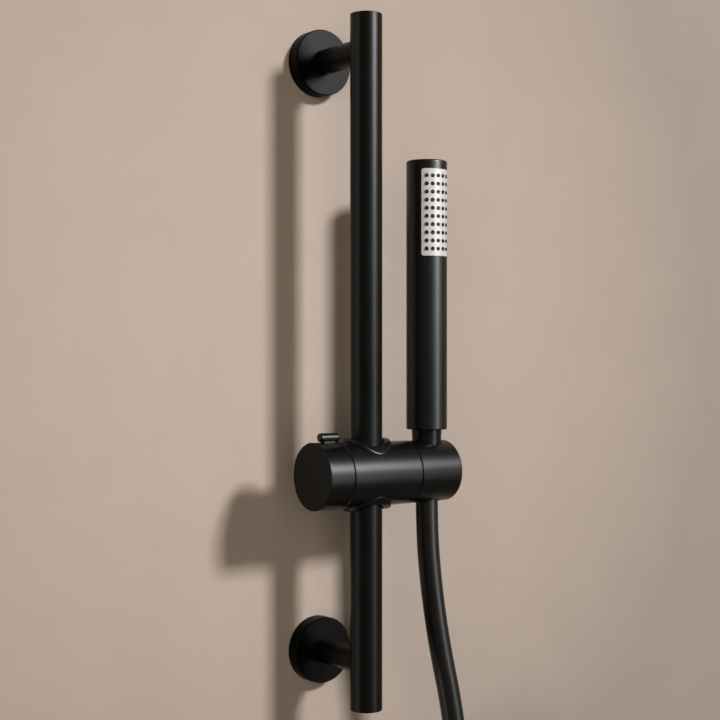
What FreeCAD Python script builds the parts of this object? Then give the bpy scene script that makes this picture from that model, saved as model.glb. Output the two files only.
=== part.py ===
import FreeCAD, Part
import math
import os

# Wall-mounted shower slide rail with hand shower and hose, in millimetres.
# The wall is the plane y = 0, the room lies towards -y, z is up.
# The origin is midway between the two wall fixings.

# Rail and its place
rail_diameter = 25.0
rail_wall = 1.5
rail_to_wall = 69.5
rail_overhang_top = 28.0
rail_overhang_bottom = 37.0
rail_edge_round = 0.7
bracket_spacing = 475.0
plug_length = 8.0

# Wall brackets
rose_diameter = 53.0
rose_depth = 12.0
rose_wall = 1.6
rose_bevel = 0.8
rose_clearance = 0.1
post_diameter = 20.0
plate_diameter = 44.0
plate_thickness = 4.0
plate_screw_spacing = 28.0
plate_screw_hole = 4.5
plate_screw_head = 8.4
spigot_diameter = 11.0
spigot_length = 20.0
spigot_clearance = 0.05
spigot_groove_depth = 0.6
grub_diameter = 5.0
grub_recess = 0.4
grub_to_rose = 5.0
post_web = 7.0
bolt_diameter = 6.0
bolt_head_diameter = 10.0
bolt_head_height = 5.0
bolt_hole_clearance = 0.2
bolt_key = 5.0
rail_nut_width = 14.0
rail_nut_height = 18.0
rail_nut_depth = 6.0

# Slider drum: knob, body and holder lie in line on one horizontal axis
slider_height = -91.6
drum_left = -51.0
drum_right = 77.5
drum_diameter_left = 52.0
drum_diameter_right = 48.5
seam_left = -28.4
seam_right = 37.1
seam_gap = 0.4
seam_bevel = 0.5
drum_end_round = 1.2

# Rail bushes with a saddle lip
bush_diameter = 30.0
bush_clearance = 0.08
bush_split = 17.0
lip_diameter = 39.0
lip_height = 2.8
lip_lift = 5.5
lip_round = 1.8
mouth_round = 1.9

# Clamp: knob, screw, insert and shoe
knob_wall = 3.0
knob_face = 4.0
hub_diameter = 18.0
washer_thickness = 2.4
screw_diameter = 8.0
screw_clearance = 0.06
screw_tip_bevel = 0.8
insert_diameter = 13.0
insert_length = 7.6
shoe_diameter = 14.0
shoe_clearance = 0.08
shoe_grip_gap = 0.05
shoe_release = 0.6
shoe_thickness = 6.2
lever_x = -35.6
lever_diameter = 6.9
lever_length = 18.0
lever_round = 1.6
lever_rise = 0.3
lever_foot_length = 13.4
lever_foot_width = 4.4
lever_foot_clearance = 0.05

# Swivel holder
socket_x = 60.0
slot_clearance = 0.8
socket_relief = 0.5
socket_round = 1.0
swivel_diameter = 14.0
swivel_length = 13.0
swivel_clearance = 0.06
ring_width = 2.4
ring_depth = 1.6
pivot_web = 3.0
pivot_screw_diameter = 5.0
pivot_hole_clearance = 0.3
pivot_thread_length = 9.0
pivot_head_diameter = 8.5
pivot_head_height = 2.6
pivot_washer_diameter = 10.0
pivot_washer_thickness = 1.0
pivot_play = 0.2

# Hand shower
handset_diameter = 32.6
handset_length = 214.3
handset_lift = 33.3
handset_wall = 2.5
handset_top_round = 1.4
handset_base_round = 1.0
handset_turn = -4.0
face_below_top = 7.5
face_height = 69.0
face_half_angle = 49.0
face_corner = 1.6
face_clearance = 0.12
face_proud = 0.05
mat_shell = 1.4
nozzle_columns = 5
nozzle_rows = 10
nozzle_column_angle = 17.2
nozzle_row_pitch = 6.43
nozzle_diameter = 3.1
nozzle_tip_diameter = 2.8
nozzle_proud = 0.7
nozzle_clearance = 0.1
chamber_wall = 1.2
chamber_margin = 4.0
chamber_clearance = 0.5
chamber_end_gap = 0.3

# Hose and its fittings
hose_diameter = 17.8
thread_diameter = 20.9
thread_clearance = 0.1
inlet_thread_length = 12.0
inlet_flange = 3.0
inlet_bore = 12.0
flow_disc_thickness = 3.0
flow_disc_hole = 6.0
nut_diameter_top = 24.0
nut_diameter_bottom = 20.6
nut_length = 40.0
nut_edge_round = 0.6
seal_thickness = 2.0
stem_flange = 3.0
stem_diameter = 11.0
stem_bore = 8.0
hose_gap = 0.2
coil_diameter = 175.0
coil_pitch = 18.0
coil_turns = 2
tail_length = 66.0
tie_width = 8.0
tie_thickness = 1.6
tie_clearance = 0.3
ferrule_diameter = 20.5
ferrule_length = 22.0
ferrule_grip = 3.0
outlet_nut_flats = 24.0
outlet_nut_length = 17.0
outlet_nut_bevel = 1.0
outlet_shoulder = 3.0
thread_relief = 0.4

# The hose's route below the cone nut, chosen by eye: x of each turn, how far it swings from the wall, and z
hose_turns = [(60.0, 0.0, -137.0), (62.5, 2.0, -180.0), (67.9, 5.7, -229.0), (79.6, 9.7, -287.0),
              (85.0, 12.5, -350.0), (83.0, 12.5, -414.0)]
hose_bend_share = 0.45

# Derived sizes
rail_radius = rail_diameter / 2
rail_bore = rail_radius - rail_wall
rail_top = bracket_spacing / 2 + rail_overhang_top
rail_bottom = -bracket_spacing / 2 - rail_overhang_bottom
post_radius = post_diameter / 2
spigot_end = plate_thickness + spigot_length
grub_y = rose_depth + grub_to_rose
bolt_seat = rail_to_wall - rail_radius - post_web
post_bore_radius = spigot_diameter / 2 + spigot_clearance
insert_inner = seam_left + seam_gap / 2 + insert_length
shoe_back = -rail_radius - shoe_grip_gap - shoe_thickness
screw_tip = shoe_back - shoe_release - seam_gap
swivel_end = seam_right + seam_gap / 2 - swivel_length
web_right = swivel_end - pivot_play
web_left = web_right - pivot_web
handset_radius = handset_diameter / 2
plate_outer = handset_radius + face_proud
face_bottom = handset_length - face_below_top - face_height
mat_inner = handset_radius - handset_wall - chamber_clearance
plate_inner = mat_inner + mat_shell
thread_radius = thread_diameter / 2
nut_slope = (nut_diameter_top - nut_diameter_bottom) / 2 / nut_length
hose_radius = hose_diameter / 2
coil_radius = coil_diameter / 2
slot_width = hose_diameter + 2 * slot_clearance
far = 400.0

X = FreeCAD.Vector(1, 0, 0)
Y = FreeCAD.Vector(0, 1, 0)
Z = FreeCAD.Vector(0, 0, 1)


def vec(x, y, z):
    return FreeCAD.Vector(x, y, z)


def rod(radius, start, direction, length):
    """A cylinder from a start point along a direction."""
    return Part.makeCylinder(radius, length, start, direction)


def ring(outer, inner, start, direction, length):
    """A plain washer or sleeve."""
    return rod(outer, start, direction, length).cut(rod(inner, start, direction, length))


def block(x, y, z):
    """A box from its limits along each axis."""
    return Part.makeBox(x[1] - x[0], y[1] - y[0], z[1] - z[0], vec(x[0], y[0], z[0]))


def round_edges(shape, axis, place, radius, size, bevel=False):
    """Rounds or bevels the circular edges of one radius that lie at one place along an axis."""
    picked = []
    for edge in shape.Edges:
        curve = edge.Curve
        if not isinstance(curve, Part.Circle):
            continue
        if abs(curve.Center.dot(axis) - place) < 1e-4 and abs(curve.Radius - radius) < 1e-4:
            picked.append(edge)
    return shape.makeChamfer(size, picked) if bevel else shape.makeFillet(size, picked)


def at_bracket(shape, side):
    """Places a bracket piece, made about the wall point, at the upper or lower fixing."""
    return shape.translated(vec(0, 0, side * bracket_spacing / 2))


def at_slider(shape):
    """Places a slider piece, made about the crossing of rail and drum axis."""
    return shape.translated(vec(0, -rail_to_wall, slider_height))


def at_handset(shape):
    """Places a hand shower piece, made about its axis with z = 0 at its base."""
    return at_slider(shape.translated(vec(socket_x, 0, handset_lift)))


# Wall brackets, made with the wall at y = 0


def wall_plate():
    """Disc with two countersunk holes and a grooved spigot that carries the post."""
    body = rod(plate_diameter / 2, vec(0, 0, 0), -Y, plate_thickness)
    body = body.fuse(rod(spigot_diameter / 2, vec(0, 0, 0), -Y, spigot_end))
    groove = ring(spigot_diameter / 2, spigot_diameter / 2 - spigot_groove_depth,
                  vec(0, -grub_y + grub_diameter / 2, 0), -Y, grub_diameter)
    body = body.cut(groove)
    sink = (plate_screw_head - plate_screw_hole) / 2
    for side in (-1, 1):
        front = vec(side * plate_screw_spacing / 2, -plate_thickness, 0)
        body = body.cut(rod(plate_screw_hole / 2, front, Y, plate_thickness))
        body = body.cut(Part.makeCone(plate_screw_head / 2, plate_screw_hole / 2, sink, front, Y))
    return body


def rose():
    """Hollow cover disc, open to the wall, that slides along the post."""
    radius = rose_diameter / 2
    body = rod(radius, vec(0, 0, 0), -Y, rose_depth)
    body = round_edges(body, Y, -rose_depth, radius, rose_bevel, bevel=True)
    body = body.cut(rod(radius - rose_wall, vec(0, 0, 0), -Y, rose_depth - rose_wall))
    return body.cut(rod(post_radius + rose_clearance, vec(0, 0, 0), -Y, rose_depth))


def post():
    """Bored arm, coped to the rail, with a cross hole for the grub screw."""
    body = rod(post_radius, vec(0, -plate_thickness, 0), -Y, rail_to_wall - plate_thickness)
    body = body.cut(rod(rail_radius, vec(0, -rail_to_wall, -rail_diameter), Z, 2 * rail_diameter))
    body = body.cut(rod(post_bore_radius, vec(0, 0, 0), -Y, bolt_seat))
    body = body.cut(rod(bolt_diameter / 2 + bolt_hole_clearance, vec(0, 0, 0), -Y, rail_to_wall))
    return body.cut(rod(grub_diameter / 2, vec(0, -grub_y, 0), -Z, post_diameter))


def grub_screw():
    """Set screw under the post, tight in the spigot's groove."""
    tip = spigot_diameter / 2 - spigot_groove_depth
    body = rod(grub_diameter / 2, vec(0, -grub_y, -tip), -Z, post_radius - grub_recess - tip)
    key = hexagon(grub_diameter / 2).translated(vec(0, 0, -post_radius))
    return body.cut(key.extrude(Z * (post_radius - tip) / 2).translated(vec(0, -grub_y, 0)))


def hexagon(across_flats):
    """Flat hexagon about the z axis."""
    reach = across_flats / 2 / math.cos(math.pi / 6)
    corners = []
    for step in range(7):
        turn = step * math.pi / 3
        corners.append(vec(reach * math.cos(turn), reach * math.sin(turn), 0))
    return Part.Face(Part.makePolygon(corners))


def post_bolt():
    """Socket head bolt from inside the post into the nut in the rail."""
    head = rod(bolt_head_diameter / 2, vec(0, -bolt_seat, 0), Y, bolt_head_height)
    key = hexagon(bolt_key).extrude(Z * bolt_head_height / 2)
    key.rotate(vec(0, 0, 0), X, -90)
    head = head.cut(key.translated(vec(0, -bolt_seat + bolt_head_height / 2, 0)))
    tip = rail_to_wall - rail_bore + rail_nut_depth
    return head.fuse(rod(bolt_diameter / 2, vec(0, -bolt_seat, 0), -Y, tip - bolt_seat))


def rail_nut():
    """Curved nut that seats on the inside of the rail's back wall."""
    back = rail_to_wall - rail_bore
    half = rail_nut_width / 2
    body = block((-half, half), (-back - rail_nut_depth, 0), (-rail_nut_height / 2, rail_nut_height / 2))
    body = body.common(rod(rail_bore, vec(0, -rail_to_wall, -rail_nut_height), Z, 2 * rail_nut_height))
    return body.cut(rod(bolt_diameter / 2, vec(0, 0, 0), -Y, rail_to_wall))


# Rail


def rail_tube():
    """Round tube with eased ends and a bolt hole at each post."""
    length = rail_top - rail_bottom
    start = vec(0, -rail_to_wall, rail_bottom)
    body = rod(rail_radius, start, Z, length)
    body = round_edges(body, Z, rail_top, rail_radius, rail_edge_round)
    body = round_edges(body, Z, rail_bottom, rail_radius, rail_edge_round)
    body = body.cut(rod(rail_bore, start, Z, length))
    for side in (-1, 1):
        hole = rod(bolt_diameter / 2 + bolt_hole_clearance, vec(0, -rail_to_wall, 0), Y, rail_diameter)
        body = body.cut(at_bracket(hole, side))
    return body


def rail_plug(end, inward):
    """Flush plug in one end of the rail."""
    return rod(rail_bore, vec(0, -rail_to_wall, end), inward, plug_length)


# Slider, made about the crossing of the rail's axis and the drum's axis


def drum_radius(x):
    """Radius of the slightly tapered drum at x."""
    share = (x - drum_left) / (drum_right - drum_left)
    return (drum_diameter_left + (drum_diameter_right - drum_diameter_left) * share) / 2


def drum(left, right, grow=0.0):
    """A stretch of the drum, thicker by grow."""
    radius_left = drum_radius(left) + grow
    radius_right = drum_radius(right) + grow
    return Part.makeCone(radius_left, radius_right, right - left, vec(left, 0, 0), X)


def slider_body():
    """Middle of the drum, bored for the rail bushes, the clamp and the swivel."""
    left = seam_left + seam_gap / 2
    right = seam_right - seam_gap / 2
    body = drum(left, right)
    for end in (left, right):
        body = round_edges(body, X, end, drum_radius(end), seam_bevel, bevel=True)
    body = body.cut(rod(bush_diameter / 2, vec(0, 0, -far), Z, 2 * far))
    body = body.cut(rod(insert_diameter / 2, vec(left, 0, 0), X, insert_length))
    body = body.cut(rod(shoe_diameter / 2 + shoe_clearance, vec(insert_inner, 0, 0), X, -insert_inner))
    body = body.cut(rod(swivel_diameter / 2 + swivel_clearance, vec(web_right, 0, 0), X, right - web_right))
    body = body.cut(rod(pivot_screw_diameter / 2 + pivot_hole_clearance, vec(0, 0, 0), X, right))
    return body.cut(rod(pivot_washer_diameter / 2 + pivot_hole_clearance, vec(0, 0, 0), X, web_left))


def rail_bush(side):
    """Sleeve on the rail with a raised lip that sits on the drum like a saddle."""
    half_lip = lip_diameter / 2
    shell = drum(-half_lip, half_lip, lip_height - lip_lift).translated(Z * lip_lift)
    lip = rod(half_lip, vec(0, 0, 0), Z, far).common(shell).cut(drum(-half_lip, half_lip))
    sleeve = rod(bush_diameter / 2, vec(0, 0, bush_split / 2), Z, far).common(shell)
    body = lip.fuse(sleeve).cut(rod(rail_radius + bush_clearance, vec(0, 0, 0), Z, far))
    body = body.removeSplitter()
    rim = edges_where(body, from_rail_axis(half_lip), on_lip_top)
    mouth = edges_where(body, from_rail_axis(rail_radius + bush_clearance), on_lip_top)
    body = body.makeFillet(lip_round, rim)
    body = body.makeFillet(mouth_round, [edge for edge in body.Edges if same_place(edge, mouth)])
    return body if side > 0 else body.mirror(vec(0, 0, 0), Z)


def edges_where(shape, *gaps):
    """Edges whose points leave no gap, where each gap is a function of a point."""
    picked = []
    for edge in shape.Edges:
        low, high = edge.ParameterRange
        points = [edge.valueAt(low + (high - low) * share) for share in (0.13, 0.41, 0.77)]
        if all(abs(gap(point)) < 1e-2 for gap in gaps for point in points):
            picked.append(edge)
    return picked


def on_drum(point):
    """Gap of a point to the drum's surface."""
    return math.hypot(point.y, point.z) - drum_radius(point.x)


def on_lip_top(point):
    """Gap of a point to the top of the bush's lip, a narrower drum whose axis is lifted."""
    return on_drum(vec(point.x, point.y, point.z - lip_lift)) - lip_height + lip_lift


def from_rail_axis(radius):
    """Gap of a point to a radius round the rail's axis."""
    return lambda point: math.hypot(point.x, point.y) - radius


def on_nut_cone(point):
    """Gap of a point to the cone of the nut in its socket."""
    return math.hypot(point.x - socket_x, point.y) - nut_radius(point.z)


def same_place(edge, others):
    """True for an edge whose box centre matches one of the others."""
    centre = edge.BoundBox.Center
    return any(centre.distanceToPoint(other.BoundBox.Center) < 1e-3 for other in others)


def clamp_insert():
    """Threaded bush for the clamp screw."""
    return ring(insert_diameter / 2, screw_diameter / 2 + screw_clearance,
                vec(seam_left + seam_gap / 2, 0, 0), X, insert_length)


def clamp_shoe():
    """Round pad with a face hollowed to the rail."""
    body = rod(shoe_diameter / 2, vec(shoe_back, 0, 0), X, -shoe_back)
    return body.cut(rod(rail_radius + shoe_grip_gap, vec(0, 0, -rail_diameter), Z, 2 * rail_diameter))


def knob():
    """Cup with a hub for the clamp screw and a hole for the lever."""
    right = seam_left - seam_gap / 2
    body = drum(drum_left, right)
    body = round_edges(body, X, drum_left, drum_radius(drum_left), drum_end_round)
    body = round_edges(body, X, right, drum_radius(right), seam_bevel, bevel=True)
    floor = drum_left + knob_face
    body = body.cut(drum(floor, right, -knob_wall))
    body = body.fuse(rod(hub_diameter / 2, vec(floor, 0, 0), X, right - washer_thickness - floor))
    body = body.cut(rod(screw_diameter / 2, vec(floor, 0, 0), X, right - floor))
    return body.cut(lever_foot(far, lever_foot_clearance))


def knob_washer():
    """Slip washer between the hub and the slider body."""
    start = vec(seam_left - seam_gap / 2 - washer_thickness, 0, 0)
    return ring(hub_diameter / 2, screw_diameter / 2, start, X, washer_thickness)


def clamp_screw():
    """Screw fixed in the knob's hub, pressing the shoe with its tip."""
    start = drum_left + knob_face
    body = rod(screw_diameter / 2, vec(start, 0, 0), X, screw_tip - start)
    return round_edges(body, X, screw_tip, screw_diameter / 2, screw_tip_bevel, bevel=True)


def lever_foot(top, grow=0.0):
    """Oblong foot of the lever, from the inside of the knob's wall up to a height."""
    half = (lever_foot_length - lever_foot_width) / 2
    radius = lever_foot_width / 2 + grow
    root = drum_radius(lever_x) - knob_wall - grow
    foot = block((lever_x - half, lever_x + half), (-radius, radius), (root, top))
    for end in (lever_x - half, lever_x + half):
        foot = foot.fuse(rod(radius, vec(end, 0, root), Z, top - root))
    return foot.removeSplitter()


def lever():
    """Short round bar on a foot that is set into the knob's wall."""
    radius = lever_diameter / 2
    height = drum_radius(lever_x) + lever_rise + radius
    left = lever_x - lever_length / 2
    bar = rod(radius, vec(left, 0, height), X, lever_length)
    for end in (left, left + lever_length):
        bar = round_edges(bar, X, end, radius, lever_round)
    return bar.fuse(lever_foot(height)).removeSplitter()


def nut_radius(height):
    """Radius of the cone nut at a height above the drum's axis."""
    return nut_diameter_top / 2 - nut_slope * (handset_lift - height)


def holder():
    """Right end of the drum with the cone socket, the hose slot behind and the swivel spigot."""
    left = seam_right + seam_gap / 2
    body = drum(left, drum_right)
    body = round_edges(body, X, drum_right, drum_radius(drum_right), drum_end_round)
    body = round_edges(body, X, left, drum_radius(left), seam_bevel, bevel=True)
    nut_end = handset_lift - nut_length
    reach = drum_radius(left) - nut_end
    base = vec(socket_x, 0, nut_end)
    socket = Part.makeCone(nut_radius(nut_end), nut_radius(nut_end + reach), reach, base, Z)
    relief = rod(nut_radius(nut_end) + socket_relief, base, -Z, reach + 2 * drum_radius(left))
    slot = block((socket_x - slot_width / 2, socket_x + slot_width / 2), (0, far), (-far, far))
    body = body.cut(socket)
    body = body.makeFillet(socket_round, edges_where(body, on_nut_cone, on_drum))
    body = body.cut(relief).cut(slot)
    body = body.fuse(rod(swivel_diameter / 2, vec(swivel_end, 0, 0), X, left - swivel_end))
    body = body.cut(friction_ring())
    return body.cut(rod(pivot_screw_diameter / 2, vec(swivel_end, 0, 0), X, pivot_thread_length))


def friction_ring():
    """Rubber ring in a groove of the swivel spigot."""
    start = seam_right - swivel_length / 2
    return ring(swivel_diameter / 2, swivel_diameter / 2 - ring_depth, vec(start, 0, 0), X, ring_width)


def pivot_washer():
    """Washer that keeps the spigot against the web."""
    return ring(pivot_washer_diameter / 2, pivot_screw_diameter / 2,
                vec(web_left - pivot_play - pivot_washer_thickness, 0, 0), X, pivot_washer_thickness)


def pivot_screw():
    """Screw from the rail bore into the swivel spigot."""
    seat = web_left - pivot_play - pivot_washer_thickness
    head = rod(pivot_head_diameter / 2, vec(seat - pivot_head_height, 0, 0), X, pivot_head_height)
    tip = swivel_end + pivot_thread_length
    return head.fuse(rod(pivot_screw_diameter / 2, vec(seat, 0, 0), X, tip - seat))


# Hand shower, made about its own axis with z = 0 at its base; the spray face looks along -y


def face_prism(grow):
    """Rounded rectangle of the spray face, pushed straight out through the front wall."""
    half = plate_outer * math.sin(math.radians(face_half_angle)) + grow
    low = face_bottom - grow
    high = face_bottom + face_height + grow
    body = block((-half, half), (-handset_diameter, 0), (low, high))
    corners = [edge for edge in body.Edges if abs(edge.tangentAt(edge.FirstParameter).dot(Y)) > 0.99]
    return body.makeFillet(face_corner + grow, corners)


def sector(outer, inner, grow=0.0):
    """A curved sheet behind the outline of the spray face."""
    shell = ring(outer, inner, vec(0, 0, 0), Z, handset_length)
    return shell.common(face_prism(grow))


def nozzle_places():
    """Angle and height of each nozzle."""
    first = face_bottom + (face_height - nozzle_row_pitch * (nozzle_rows - 1)) / 2
    for row in range(nozzle_rows):
        for column in range(nozzle_columns):
            angle = (column - (nozzle_columns - 1) / 2) * nozzle_column_angle
            yield angle, first + row * nozzle_row_pitch


def turned(shape):
    """Turns a piece of the spray head with the hand shower."""
    return shape.rotated(vec(0, 0, 0), Z, handset_turn)


def handset_body():
    """Closed tube with the opening for the spray face and a hole for the inlet."""
    body = rod(handset_radius, vec(0, 0, 0), Z, handset_length)
    body = round_edges(body, Z, handset_length, handset_radius, handset_top_round)
    body = round_edges(body, Z, 0, handset_radius, handset_base_round)
    bore = handset_radius - handset_wall
    body = body.cut(rod(bore, vec(0, 0, handset_wall), Z, handset_length - 2 * handset_wall))
    body = body.cut(rod(thread_radius, vec(0, 0, 0), Z, handset_wall))
    return turned(body.cut(face_prism(face_clearance)))


def nozzle_plate():
    """White curved face plate with a hole for each nozzle."""
    body = sector(plate_outer, plate_inner)
    holes = []
    for angle, height in nozzle_places():
        hole = rod(nozzle_diameter / 2 + nozzle_clearance, vec(0, 0, height), -Y, handset_diameter)
        holes.append(hole.rotated(vec(0, 0, height), Z, angle))
    return turned(body.cut(Part.makeCompound(holes)))


def nozzle_mat():
    """Rubber sheet behind the plate with a tapered nozzle through each hole."""
    body = sector(plate_inner, mat_inner)
    tip = plate_outer + nozzle_proud
    root = (plate_inner + mat_inner) / 2
    nozzles = []
    for angle, height in nozzle_places():
        spike = Part.makeCone(nozzle_diameter / 2, nozzle_tip_diameter / 2, tip - root,
                              vec(0, -root, height), -Y)
        nozzles.append(spike.rotated(vec(0, 0, height), Z, angle))
    return turned(body.multiFuse(nozzles))


def spray_chamber():
    """Inner trough that feeds the back of the nozzle mat."""
    low = face_bottom - chamber_margin
    length = handset_length - handset_wall - chamber_end_gap - low
    outer = rod(mat_inner, vec(0, 0, low), Z, length)
    inner = rod(mat_inner - chamber_wall, vec(0, 0, low + chamber_wall), Z, length - 2 * chamber_wall)
    feed = rod(inlet_bore / 2, vec(0, 0, low), Z, chamber_wall)
    return turned(outer.cut(inner).cut(feed).cut(face_prism(-chamber_wall)))


def inlet_connector():
    """Threaded spigot with an inner flange that seats on the base of the body."""
    body = rod(thread_radius, vec(0, 0, -inlet_thread_length), Z, inlet_thread_length + handset_wall)
    body = body.fuse(rod(handset_radius - handset_wall, vec(0, 0, handset_wall), Z, inlet_flange))
    return body.cut(rod(inlet_bore / 2, vec(0, 0, -far), Z, 2 * far))


def flow_disc():
    """Flow limiter pressed into the inlet."""
    return ring(inlet_bore / 2, flow_disc_hole / 2, vec(0, 0, -inlet_thread_length), Z, flow_disc_thickness)


# Hose fittings at the hand shower


def cone_nut():
    """Cone that screws on the inlet and stands in the holder's socket."""
    body = Part.makeCone(nut_diameter_bottom / 2, nut_diameter_top / 2, nut_length, vec(0, 0, -nut_length), Z)
    body = round_edges(body, Z, -nut_length, nut_diameter_bottom / 2, nut_edge_round)
    seat = inlet_thread_length + seal_thickness + stem_flange
    thread = rod(thread_radius + thread_clearance, vec(0, 0, -inlet_thread_length), Z, inlet_thread_length)
    body = body.cut(thread)
    body = body.cut(rod(stem_radius_at_flange(), vec(0, 0, -seat), Z, seat))
    return body.cut(rod(stem_diameter / 2, vec(0, 0, -nut_length), Z, nut_length))


def stem_radius_at_flange():
    """Radius of the hose stem's flange and of the seal on it."""
    return thread_radius - nut_slope * nut_length / 2


def inlet_washer():
    """Flat seal between inlet and stem."""
    return ring(stem_radius_at_flange(), stem_bore / 2, vec(0, 0, -inlet_thread_length), -Z, seal_thickness)


def hose_stem():
    """Flanged tube that carries the hose in the nut."""
    top = inlet_thread_length + seal_thickness
    body = rod(stem_radius_at_flange(), vec(0, 0, -top), -Z, stem_flange)
    body = body.fuse(rod(stem_diameter / 2, vec(0, 0, -top), -Z, nut_length - top))
    return body.cut(rod(stem_bore / 2, vec(0, 0, -top), -Z, nut_length - top))


# Hose, made in place


def hose_points():
    """The route from the cone nut to the coil."""
    start = (socket_x, 0, slider_height + handset_lift - nut_length - hose_gap)
    return [vec(x, -rail_to_wall - swing, z) for x, swing, z in [start] + hose_turns]


def bent_path(points):
    """Straight runs joined by tangent arcs, each as large as its runs allow."""
    edges = []
    last = points[0]
    for before, corner, after in zip(points, points[1:], points[2:]):
        into = (corner - before).normalize()
        out = (after - corner).normalize()
        turn = into.getAngle(out)
        trim = hose_bend_share * min((corner - before).Length, (after - corner).Length)
        radius = trim / math.tan(turn / 2)
        start = corner - into * trim
        end = corner + out * trim
        middle = corner + (out - into).normalize() * (radius / math.cos(turn / 2) - radius)
        edges.append(Part.LineSegment(last, start).toShape())
        edges.append(Part.Arc(start, middle, end).toShape())
        print("hose bend radius", round(radius, 1))
        last = end
    edges.append(Part.LineSegment(last, points[-1]).toShape())
    return Part.Wire(edges)


def hose_tube():
    """Free hanging stretch of the hose."""
    path = bent_path(hose_points())
    section = Part.Wire(Part.makeCircle(hose_radius, hose_points()[0], Z))
    tube = path.makePipeShell([section], True, False)
    print("hose tube volume share", round(tube.Volume / (math.pi * hose_radius ** 2 * path.Length), 4))
    return tube


def coil_centre():
    """Centre of the coil, square to the last run of the route."""
    points = hose_points()
    run = (points[-1] - points[-2]).normalize()
    return points[-1] + vec(-run.z, 0, run.x) * coil_radius


def hose_coil():
    """Outer shape of the coil's turns, side by side from the hanging stretch towards the wall."""
    centre = coil_centre()
    width = coil_turns * coil_pitch
    outer = rod(coil_radius + hose_radius, centre, Y, width)
    inner = rod(coil_radius - hose_radius, centre, Y, width)
    body = outer.cut(inner)
    for offset in (0, width):
        body = body.fuse(Part.makeTorus(coil_radius, hose_radius, centre + Y * offset, Y))
    return body.removeSplitter()


def tail_start():
    """Point where the hose leaves the last turn and hangs straight down."""
    return coil_centre() + vec(-coil_radius, coil_turns * coil_pitch, 0)


def hose_tail():
    """Straight end of the hose below the coil."""
    return rod(hose_radius, tail_start(), -Z, tail_length)


def coil_tie():
    """Strap round the turns at the top of the coil."""
    centre = coil_centre() + vec(0, coil_turns * coil_pitch / 2, coil_radius)
    inside = hose_radius + tie_clearance
    return strap(inside + tie_thickness, centre).cut(strap(inside, centre))


def strap(radius, centre):
    """Round-ended bar across the coil."""
    half = coil_turns * coil_pitch / 2
    body = block((-tie_width / 2, tie_width / 2), (-half, half), (-radius, radius))
    for side in (-half, half):
        body = body.fuse(rod(radius, vec(-tie_width / 2, side, 0), X, tie_width))
    return body.removeSplitter().translated(centre)


def at_outlet(shape):
    """Places a fitting, made about its axis with z = 0 at the end of the hose."""
    return shape.translated(tail_start() - Z * tail_length)


def outlet_ferrule():
    """Crimped sleeve with the stem that holds the outlet nut."""
    end = vec(0, 0, -ferrule_length)
    body = rod(ferrule_diameter / 2, end, Z, ferrule_length)
    body = body.cut(rod(stem_bore / 2, end, Z, ferrule_length - ferrule_grip))
    return body.fuse(ring(stem_diameter / 2, stem_bore / 2, end - Z * outlet_shoulder, Z, outlet_shoulder))


def outlet_nut():
    """Hexagon nut with the female thread for the wall outlet."""
    top = -ferrule_length
    body = hexagon(outlet_nut_flats).extrude(-Z * outlet_nut_length).translated(Z * top)
    reach = outlet_nut_flats / 2 / math.cos(math.pi / 6)
    bevelled = rod(reach, vec(0, 0, top), -Z, outlet_nut_length)
    for end in (top, top - outlet_nut_length):
        bevelled = round_edges(bevelled, Z, end, reach, outlet_nut_bevel, bevel=True)
    body = body.common(bevelled)
    body = body.cut(rod(stem_diameter / 2, vec(0, 0, top), -Z, outlet_nut_length))
    seat = vec(0, 0, top - outlet_shoulder)
    body = body.cut(rod(thread_radius + thread_relief, seat, -Z, seal_thickness))
    return body.cut(rod(thread_radius, seat, -Z, outlet_nut_length))


def outlet_washer():
    """Flat seal in the relief at the bottom of the outlet nut's thread."""
    top = -ferrule_length - outlet_shoulder
    return ring(thread_radius + thread_relief, stem_bore / 2, vec(0, 0, top), -Z, seal_thickness)


def pieces():
    """Every sub-part by name, in place."""
    for name, side in (("upper", 1), ("lower", -1)):
        yield name + "_wall_plate", at_bracket(wall_plate(), side)
        yield name + "_rose", at_bracket(rose(), side)
        yield name + "_post", at_bracket(post(), side)
        yield name + "_grub_screw", at_bracket(grub_screw(), side)
        yield name + "_post_bolt", at_bracket(post_bolt(), side)
        yield name + "_rail_nut", at_bracket(rail_nut(), side)
        yield name + "_rail_bush", at_slider(rail_bush(side))
    yield "rail_tube", rail_tube()
    yield "rail_top_plug", rail_plug(rail_top, -Z)
    yield "rail_bottom_plug", rail_plug(rail_bottom, Z)
    for make in (slider_body, clamp_insert, clamp_shoe, knob, knob_washer, clamp_screw, lever,
                 holder, friction_ring, pivot_washer, pivot_screw):
        yield make.__name__, at_slider(make())
    for make in (handset_body, nozzle_plate, nozzle_mat, spray_chamber, inlet_connector, flow_disc,
                 cone_nut, inlet_washer, hose_stem):
        yield make.__name__, at_handset(make())
    for make in (hose_tube, hose_coil, hose_tail, coil_tie):
        yield make.__name__, make()
    for make in (outlet_ferrule, outlet_nut, outlet_washer):
        yield make.__name__, at_outlet(make())


os.makedirs("parts", exist_ok=True)
for node, shape in pieces():
    shape.exportStep("parts/" + node + ".step")
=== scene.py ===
import math

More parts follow.
